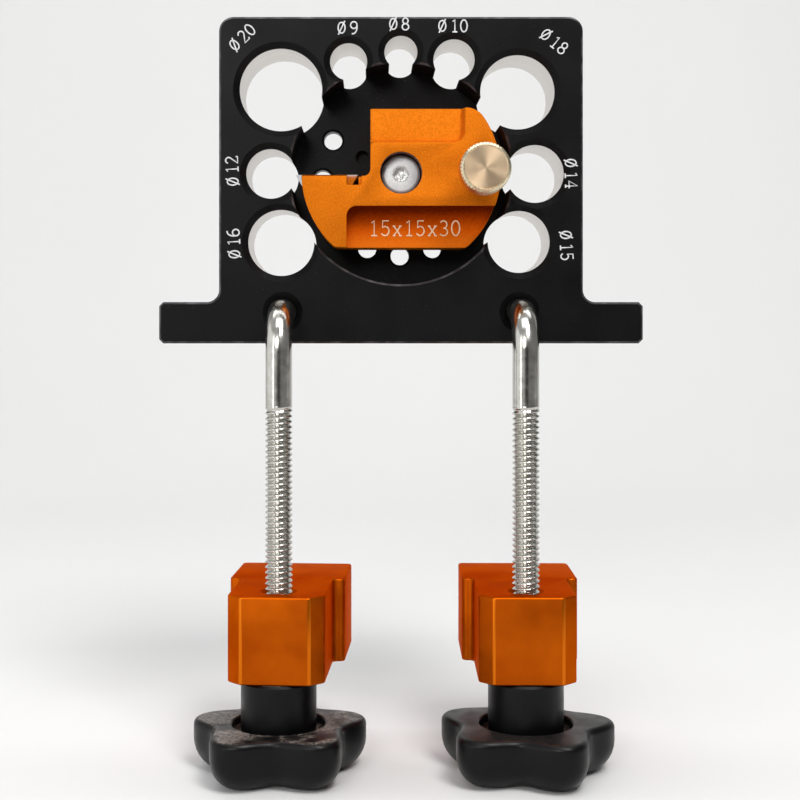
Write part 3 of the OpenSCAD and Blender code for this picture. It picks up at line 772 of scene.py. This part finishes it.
def black_oxide():
    """Blackened steel of the small screws, slightly oily."""
    finish = new_finish("black_oxide", (0.05, 0.05, 0.055), 0.9, 0.35)
    drive(finish, "Roughness", between(finish, grain(finish, 0.0008, 3), 0.26, 0.46))
    relief(finish, (grain(finish, 0.0002), 0.000006))
    return finish


def square(low, high):
    """The outline of a box seen from above."""
    return [(low.x, low.y), (high.x, low.y), (high.x, high.y), (low.x, high.y)]


carbide = ground_carbide()
relief_in = (cutter_high.z - cutter_low.z) * math.tan(math.radians(relief_angle))
screw_middle = (cutter_low + cutter_high) / 2
cone_foot = cutter_high.z - (cutter_head_radius - cutter_screw_radius)
cutter = make_piece("carbide_tip", slab(square(cutter_low, cutter_high), [
    (relief_in, cutter_low.z),
    (land_in, cutter_high.z - land),
    (0, cutter_high.z),
], "Z"), carbide)
cut(cutter, carbide, turned([
    (cutter_screw_radius, cutter_low.z - cut_over),
    (cutter_screw_radius, cone_foot),
    (cutter_head_radius + cut_over, cutter_high.z + cut_over),
], screw_middle, "Z"))
settle(cutter, "carriage", "carbide", "cutter_insert")


def six_lobes(a, along):
    """The socket's wavy outline."""
    return key_wave * math.cos(6 * a)


oxide = black_oxide()
cutter_screw = make_piece("tip_screw", turned([
    (cutter_screw_radius, cutter_screw_low.z),
    (cutter_screw_radius, cone_foot),
    (cutter_head_radius - head_bevel, cutter_high.z - head_bevel),
    (cutter_head_radius - head_rim, cutter_high.z),
], screw_middle, "Z"), oxide)
cut(cutter_screw, oxide, turned([
    (key_radius, cutter_high.z - key_depth),
    (key_radius, cutter_high.z + cut_over),
], screw_middle, "Z", ripple=six_lobes))
settle(cutter_screw, "carriage", "dark_steel", "cutter_screw")

# The thumbscrew is turned from brass bar, with a diamond knurl round its knob. Its plain point drops into
# an index hole and locks the carriage at a bore.
thumb_low, thumb_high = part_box("index_thumbscrew")
thumb_radius = 0.006
knob_length = 0.008
face_radius = 0.0051
face_sunk = 0.00012
face_middle = 0.0003
face_rim = 0.00025
cone_end_in = 0.00008
cone_end_up = 0.0002
rim = 0.0008
knurl_count = 44
knurl_pitch = 0.0011
knurl_depth = 0.00016
knurl_flat = 0.7
stem_radius = 0.003
point_radius = 0.00225
point_length = 0.005
point_cut = 0.0004
knob_face_sides = 264
side_steps = 40


def turned_brass(name, ring_height):
    """Brass from the lathe. Its fine rings about the screw's axis spread the light into sectors."""
    finish = new_finish(name, (0.89, 0.68, 0.47), 1.0, 0.34)
    fix(finish, "Anisotropic", 0.65)
    drive(finish, "Tangent", node(finish, "Tangent", direction_type="RADIAL", axis="Y").outputs["Tangent"])
    tarnish = grain(finish, 0.004, 3)
    colour_by(finish, tarnish, (0.3, (0.80, 0.58, 0.37)), (0.7, (0.87, 0.66, 0.44)))
    drive(finish, "Roughness", between(finish, grain(finish, 0.0015, 3), 0.33, 0.36))
    relief(finish, (grain(finish, 0.00025), ring_height))
    return finish


def diamond_knurl(a, depth):
    """Two crossed sets of slanting grooves round the knob's side."""
    from_front = depth - thumb_low.y
    if not 0.9 * rim < from_front < knob_length - 0.9 * rim:
        return 0
    one = abs(2 * ((knurl_count * a / math.tau + depth / knurl_pitch) % 1) - 1)
    other = abs(2 * ((knurl_count * a / math.tau - depth / knurl_pitch) % 1) - 1)
    return knurl_depth * (min(one, other, knurl_flat) / knurl_flat - 1)


def bright_cone():
    """The polished cut round the knob's face."""
    finish = new_finish("bright_cone", (0.86, 0.74, 0.51), 1.0, 0.32)
    drive(finish, "Roughness", between(finish, grain(finish, 0.0004, 2), 0.26, 0.38))
    relief(finish, (grain(finish, 0.0006, 2), 0.00001))
    return finish


knob_face = thumb_low.y
knob_back = knob_face + knob_length
knurled = []
for i in range(side_steps + 1):
    knurled.append((thumb_radius, knob_face + rim + (knob_length - 2 * rim) * i / side_steps))
thumbscrew_shape = turned([
    (face_middle, knob_face + face_sunk),
    (face_radius - face_sunk, knob_face + face_sunk),
    (face_radius, knob_face),
    (face_radius + face_rim, knob_face),
    (thumb_radius - cone_end_in, knob_face + rim - cone_end_up),
    *knurled,
    (thumb_radius - rim, knob_back),
    (stem_radius, knob_back),
    (stem_radius, thumb_high.y - point_length),
    (point_radius, thumb_high.y - point_length),
    (point_radius, thumb_high.y - point_cut),
    (point_radius - point_cut, thumb_high.y),
], thumb_centre, sides=knob_face_sides, ripple=diamond_knurl)
screw_brass = turned_brass("turned_brass", 0.000001)
thumbscrew = make_piece("brass_thumbscrew", thumbscrew_shape, screw_brass, bright_cone())
# The rings of faces from the rim of the sunk face to the start of the knurl are polished
for face in thumbscrew.data.polygons:
    face.material_index = 1 if 2 * knob_face_sides <= face.index < 5 * knob_face_sides else 0
settle(thumbscrew, "thumbscrew", "turned_brass", "index_thumbscrew")

# The hook bolts are steel rod, bent cold to a hook, with a rolled 1/4 inch thread of 20 turns per inch,
# and plated bright. Each hook passes through the plate and swings in its hole.
rod_radius = 0.0031
thread_radius = 0.003175
thread_pitch = 0.00127
thread_depth = 0.00062
thread_top = -0.014
bend_radius = 0.0095
leg_y = -0.0247
bolt_low, bolt_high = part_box("hook_bolt_left")
bolt_cut = 0.0008
bolt_sides = 40
rows_per_turn = 12
leg_steps = 6
bend_steps = 24
hook_steps = 4
thread_flat = 0.08
thread_flank = 0.78
run_out = 1.5 * thread_pitch
crest_rise = 3
point_in = 0.0002
point_slope = 0.8


def bright_plating():
    """Bright zinc over drawn rod: nearly a mirror, with faint draw lines and dull spots."""
    finish = new_finish("bright_plating", (0.58, 0.57, 0.53), 1.0, 0.18)
    lines = grain(finish, 0.0005, 3, (1, 1, 24))
    spots = grain(finish, 0.002, 4)
    colour_by(finish, spots, (0.35, (0.52, 0.51, 0.47)), (0.65, (0.63, 0.62, 0.58)))
    drive(finish, "Roughness", between(finish, spots, 0.13, 0.24))
    relief(finish, (lines, 0.000008), (grain(finish, 0.0009, 2), 0.000004))
    return finish


def thread_at(angle, z):
    """Radius of the right-handed thread at an angle and a height, run out at its top."""
    share = (z / thread_pitch - angle / math.tau) % 1
    tooth = min(1, max(0, (abs(2 * share - 1) - thread_flat) / thread_flank))
    fade = min(1, max(0, (thread_top - z) / run_out))
    crest = rod_radius + (thread_radius - rod_radius) * min(1, crest_rise * fade)
    return crest - thread_depth * (1 - tooth) * fade


def bolt_ring(x, y, z, lean, radius_of):
    """A ring of the rod; lean is the rod's turn from upright towards the plate."""
    ring = []
    for i in range(bolt_sides):
        a = math.tau * i / bolt_sides
        r = radius_of(a)
        along = r * math.sin(a)
        ring.append((x + r * math.cos(a), y + along * math.cos(lean), z - along * math.sin(lean)))
    return ring


def plain_rod(angle):
    """Radius of the rod where it has no thread."""
    return rod_radius


def bolt_shape(x, hook_z):
    """The whole bolt from its threaded end up, round the bend and back through the plate."""
    root = thread_radius - thread_depth
    length = thread_top - bolt_low.z
    rings = [bolt_ring(x, leg_y, bolt_low.z, 0, lambda a: root - point_in)]
    rows = round(length / thread_pitch * rows_per_turn)
    for row in range(1, rows + 1):
        z = bolt_low.z + length * row / rows
        limit = root + (z - bolt_low.z) * point_slope
        rings.append(bolt_ring(x, leg_y, z, 0, lambda a: min(thread_at(a, z), limit)))
    bend_y = leg_y + bend_radius
    bend_z = hook_z - bend_radius
    for i in range(1, leg_steps):
        z = thread_top + (bend_z - thread_top) * i / leg_steps
        rings.append(bolt_ring(x, leg_y, z, 0, plain_rod))
    for i in range(bend_steps + 1):
        lean = math.radians(90 * i / bend_steps)
        y = bend_y - bend_radius * math.cos(lean)
        rings.append(bolt_ring(x, y, bend_z + bend_radius * math.sin(lean), lean, plain_rod))
    lean = math.radians(90)
    for i in range(1, hook_steps + 1):
        y = bend_y + (bolt_high.y - bolt_cut - bend_y) * i / hook_steps
        rings.append(bolt_ring(x, y, hook_z, lean, plain_rod))
    rings.append(bolt_ring(x, bolt_high.y, hook_z, lean, lambda a: rod_radius - bolt_cut))
    return rings_to_shape(rings)


plating = bright_plating()
for side, place in zip(("left", "right"), hook_places):
    bolt = make_piece(f"bent_bolt_{side}", bolt_shape(place[0], place[2]), plating)
    settle(bolt, f"bolt_{side}", "bright_steel", f"hook_bolt_{side}", sharp=50)

# The clamp blocks are milled from aluminium bar to a T seen from above, with cut front corners and
# softened edges, and anodised orange like the carriage. Their wide jaws press up from below.
block_low, block_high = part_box("clamp_block_left")
post_half = 0.0112
post_front = 0.008
post_cut = 0.0033
jaw_half = 0.014
jaw_behind = 0.016
jaw_length = 0.022
block_edge = 0.0004
block_corner = 0.0013
block_turns = {"left": -3.7, "right": -0.9}
block_hole = 0.003225
block_lead = 0.0011
corner_back = 0.003


def soft_corners(outline, radius, steps=6):
    """Rounds each corner of an outline."""
    rounded = []
    for i, point in enumerate(outline):
        here = Vector(point)
        before = (Vector(outline[i - 1]) - here).normalized()
        after = (Vector(outline[(i + 1) % len(outline)]) - here).normalized()
        half = before.angle(after) / 2
        centre = here + (before + after).normalized() * radius / math.sin(half)
        first = here + before * radius / math.tan(half)
        last = here + after * radius / math.tan(half)
        start = math.atan2(first.y - centre.y, first.x - centre.x)
        swing = math.atan2(last.y - centre.y, last.x - centre.x) - start
        swing = (swing + math.pi) % math.tau - math.pi
        rounded += arc(centre, radius, math.degrees(start), math.degrees(start + swing), steps)
    return rounded


def block_anodise():
    """Bar dyed a deeper orange: semi-gloss, with fine drawn lines and a few nicks."""
    finish = new_finish("block_anodise", (0.55, 0.11, 0.004), 1.0, 0.34)
    fix(finish, "Specular Tint", (1, 0.35, 0.08, 1))
    lines = grain(finish, 0.0004, 3, (1, 1, 30))
    clouds = grain(finish, 0.009, 3)
    colour_by(finish, clouds, (0.3, (0.41, 0.066, 0.002)), (0.7, (0.55, 0.105, 0.003)))
    drive(finish, "Roughness", between(finish, clouds, 0.44, 0.50))
    relief(finish, (lines, 0.00001), (grain(finish, 0.0005), 0.000008))
    return finish


def burnished_corner():
    """The rounded front corners, rubbed smoother than the faces, and painted paler as a highlight."""
    finish = new_finish("burnished_corner", (0.66, 0.150, 0.006), 1.0, 0.30)
    drive(finish, "Roughness", between(finish, grain(finish, 0.004, 3), 0.27, 0.34))
    return finish


block_orange = block_anodise()
corner_highlight_orange = burnished_corner()
for side, place in zip(("left", "right"), hook_places):
    x = place[0]
    right = [
        (post_half - post_cut, -post_front),
        (post_half, post_cut - post_front),
        (post_half, jaw_behind),
        (jaw_half, jaw_behind),
        (jaw_half, jaw_behind + jaw_length),
    ]
    flat = right + [(-across, along) for across, along in reversed(right)]
    turn = Matrix.Rotation(math.radians(block_turns[side]), 2)
    placed = [tuple(turn @ Vector(point) + Vector((x, leg_y))) for point in flat]
    outline = soft_corners(placed, block_corner)
    block_shape = slab(outline, rounding(block_edge, block_low.z, block_high.z), "Z")
    block = make_piece(f"bench_clamp_{side}", block_shape, block_orange)
    lead = block_lead + cut_over
    cut(block, block_orange, turned([
        (block_hole + lead, block_low.z - cut_over),
        (block_hole, block_low.z + block_lead),
        (block_hole, block_high.z - block_lead),
        (block_hole + lead, block_high.z + cut_over),
    ], (x, leg_y), "Z"))
    # The rubbed corners with the painted highlight are the faces on the post that are turned 7 to 42 degrees from
    # the front
    block.data.materials.append(corner_highlight_orange)
    for face in block.data.polygons:
        turned_away = face.normal.y < -0.74 and 0.12 < abs(face.normal.x) < 0.66
        if turned_away and face.center.y < leg_y - corner_back:
            face.material_index = 1
    settle(block, f"clamp_{side}", "orange_anodised", f"clamp_block_{side}")

# The star knobs are moulded in black plastic with five lobes, a groove round the hub and a brass insert in
# the hub. Each turns on its bolt and pushes its clamp block up.
knob_low, knob_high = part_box("star_knob_left")
insert_low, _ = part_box("knob_insert_left")
lobe_count = 5
knob_radius = 0.021
lobe_depth = 0.0052
head_rise = 0.0116
foot_radius = 0.0055
bore_edge = 0.0004
low_round = 0.007
top_round = 0.0016
hub_radius = 0.00875
groove_width = 0.0021
groove_deep = 0.0018
groove_edge = 0.0003
hub_edge = 0.0005
insert_seat = 0.00502
insert_lead = 0.0002
insert_mouth = 0.0052
knob_turns = {"left": 0, "right": -10}
knob_sides = 240
round_steps = 8


def moulded_plastic(name, dust):
    """Filled nylon from a fine-grained mould, scuffed and dusty where it has been handled and set down."""
    finish = new_finish(name, (0.002, 0.002, 0.0023), 0.0, 0.34)
    fix(finish, "Specular IOR Level", 0.18)
    facing = node(finish, "TexCoord").outputs["Normal"]
    upward = node(finish, "SeparateXYZ", {"Vector": facing}).outputs["Z"]
    lying = between(finish, upward, 0, 1, 0.75, 0.98)
    patches = between(finish, grain(finish, 0.007, 3), 0, dust, 0.36, 0.52)
    flecks = between(finish, grain(finish, 0.0006, 3), 0.4, 1, 0.42, 0.62)
    cover = joined(finish, "MULTIPLY", joined(finish, "MULTIPLY", lying, patches), flecks)
    colour_by(finish, cover,
        (0.0, (0.0018, 0.0018, 0.0021)),
        (0.35, (0.022, 0.019, 0.017)),
        (1.0, (0.19, 0.16, 0.14)))
    drive(finish, "Roughness", between(finish, grain(finish, 0.004, 4), 0.28, 0.42))
    relief(finish, (grain(finish, 0.0005, 2), 0.000010), (grain(finish, 0.0035, 5), 0.000016))
    return finish


def knob_shape(x, turn):
    """The knob's skin: from the bore out under the head, up its lobes, in over the groove and up the hub."""
    head_top = knob_low.z + head_rise
    groove = hub_radius + groove_width
    groove_floor = head_top - groove_deep
    turns = [math.radians(90 * i / round_steps) for i in range(round_steps + 1)]
    rows = [
        (block_hole, knob_low.z + bore_edge, 0),
        (block_hole + bore_edge, knob_low.z, 0),
        (foot_radius, knob_low.z, 0),
        *[(low_round * (1 - math.sin(a)), knob_low.z + low_round * (1 - math.cos(a)), 1) for a in turns],
        *[(top_round * (1 - math.cos(a)), head_top - top_round * (1 - math.sin(a)), 1) for a in turns],
        (groove + groove_edge, head_top, 0),
        (groove, head_top - groove_edge, 0),
        (groove, groove_floor, 0),
        (hub_radius, groove_floor, 0),
        (hub_radius, knob_high.z - hub_edge, 0),
        (hub_radius - hub_edge, knob_high.z, 0),
        (insert_mouth, knob_high.z, 0),
        (insert_seat, knob_high.z - insert_lead, 0),
        (insert_seat, insert_low.z, 0),
        (block_hole, insert_low.z, 0),
    ]
    rings = []
    for size, z, lobed in rows:
        ring = []
        for i in range(knob_sides):
            a = math.tau * i / knob_sides
            wave = knob_radius - lobe_depth * (1 - math.cos(lobe_count * a)) / 2
            r = wave - size if lobed else size
            across = a + math.radians(90 + turn)
            ring.append((x + r * math.cos(across), leg_y + r * math.sin(across), z))
        rings.append(ring)
    return rings_to_shape(rings, looped=True)


plastics = {"left": moulded_plastic("dusty_plastic", 1.0), "right": moulded_plastic("handled_plastic", 0.3)}
insert_brass = turned_brass("insert_brass", 0.00001)
for side, place in zip(("left", "right"), hook_places):
    knob = make_piece(f"moulded_knob_{side}", knob_shape(place[0], knob_turns[side]), plastics[side])
    settle(knob, f"knob_{side}", "black_plastic", f"star_knob_{side}")
    give_finish(f"knob_insert_{side}", insert_brass)

# The stand is a pale sweep that runs from under the jig up behind it. The key lamp hangs at the front right,
# a fill and a panel overhead soften its shadows, two weak lamps light the left, and one behind the jig
# lights the sweep's back.
floor_z = cad_low.z
sweep_front = -0.25
sweep_back = 0.9
sweep_top = 1.5
sweep_half = 1.6
sweep_bend = 0.5
lens_place = (-0.0072, -0.3617, 0.0076)
lens_length = 65.5
picture_shift = (0.036, -0.11)


def pale_sweep():
    """Even, very pale matt card."""
    finish = new_finish("pale_sweep", (0.66, 0.66, 0.66), 0.0, 0.9)
    colour_by(finish, grain(finish, 0.4, 2), (0.3, (0.65, 0.65, 0.65)), (0.7, (0.67, 0.67, 0.67)))
    return finish


def lamp(name, place, target, size, power, colour):
    """A square soft lamp that looks at a target."""
    light = bpy.data.lights.new(name, "AREA")
    light.shape = "RECTANGLE"
    light.size, light.size_y = size
    light.energy = power
    light.color = colour
    stand = bpy.data.objects.new(name, light)
    stand.location = place
    stand.rotation_mode = "QUATERNION"
    stand.rotation_quaternion = (Vector(target) - Vector(place)).to_track_quat("-Z", "Y")
    bpy.context.scene.collection.objects.link(stand)


bend = arc((sweep_back - sweep_bend, floor_z + sweep_bend), sweep_bend, 270, 360, 24)
profile = [(sweep_front, floor_z), *bend, (sweep_back, sweep_top)]
points = [(side * sweep_half, y, z) for y, z in profile for side in (-1, 1)]
faces = [(2 * i, 2 * i + 1, 2 * i + 3, 2 * i + 2) for i in range(len(profile) - 1)]
sweep = make_piece("pale_sweep", (points, faces), pale_sweep())
sweep.data.shade_smooth()

middle = (0, 0, 0)
lamp("key", (0.30, -0.65, 0.85), middle, (0.35, 0.45), 8.5, (1.0, 0.99, 0.97))
lamp("front_fill", (-0.25, -0.90, 0.35), middle, (0.3, 0.3), 2.6, (1.0, 0.99, 0.98))
lamp("top_panel", (0.0, -0.40, 1.0), middle, (0.9, 0.4), 3.0, (1.0, 1.0, 1.0))
lamp("left_strip", (-0.65, -0.65, 0.10), middle, (0.12, 0.9), 1.0, (1.0, 1.0, 1.0))
lamp("left_panel", (-0.90, -0.15, 0.0), middle, (1.2, 1.2), 2.6, (0.98, 0.99, 1.0))
lamp("behind", (0.0, 0.25, 1.1), (0, 0.8, 0.3), (1.6, 0.4), 7.0, (1.0, 1.0, 1.0))

# The surroundings are dim straight behind the lens, and brighter on the left than on the right
world = bpy.data.worlds.new("studio")
world.use_nodes = True
towards = node(world, "SeparateXYZ", {"Vector": node(world, "TexCoord").outputs["Generated"]}).outputs
around_lens = between(world, towards["Y"], 0.15, 1.0, -0.985, -0.93)
sideways = between(world, towards["X"], 0.48, 0.20, -0.2, 0.1)
background = world.node_tree.nodes["Background"]
background.inputs["Color"].default_value = (1, 1, 1, 1)
world.node_tree.links.new(joined(world, "MULTIPLY", around_lens, sideways), background.inputs["Strength"])
bpy.context.scene.world = world
bpy.context.scene.view_settings.view_transform = "Standard"

lens = bpy.data.cameras.new("camera")
lens.lens = lens_length
lens.shift_x, lens.shift_y = picture_shift
lens.clip_start, lens.clip_end = 0.01, 20
camera = bpy.data.objects.new("camera", lens)
camera.location = lens_place
camera.rotation_euler = (math.radians(90), 0, 0)
bpy.context.scene.collection.objects.link(camera)
bpy.context.scene.camera = camera
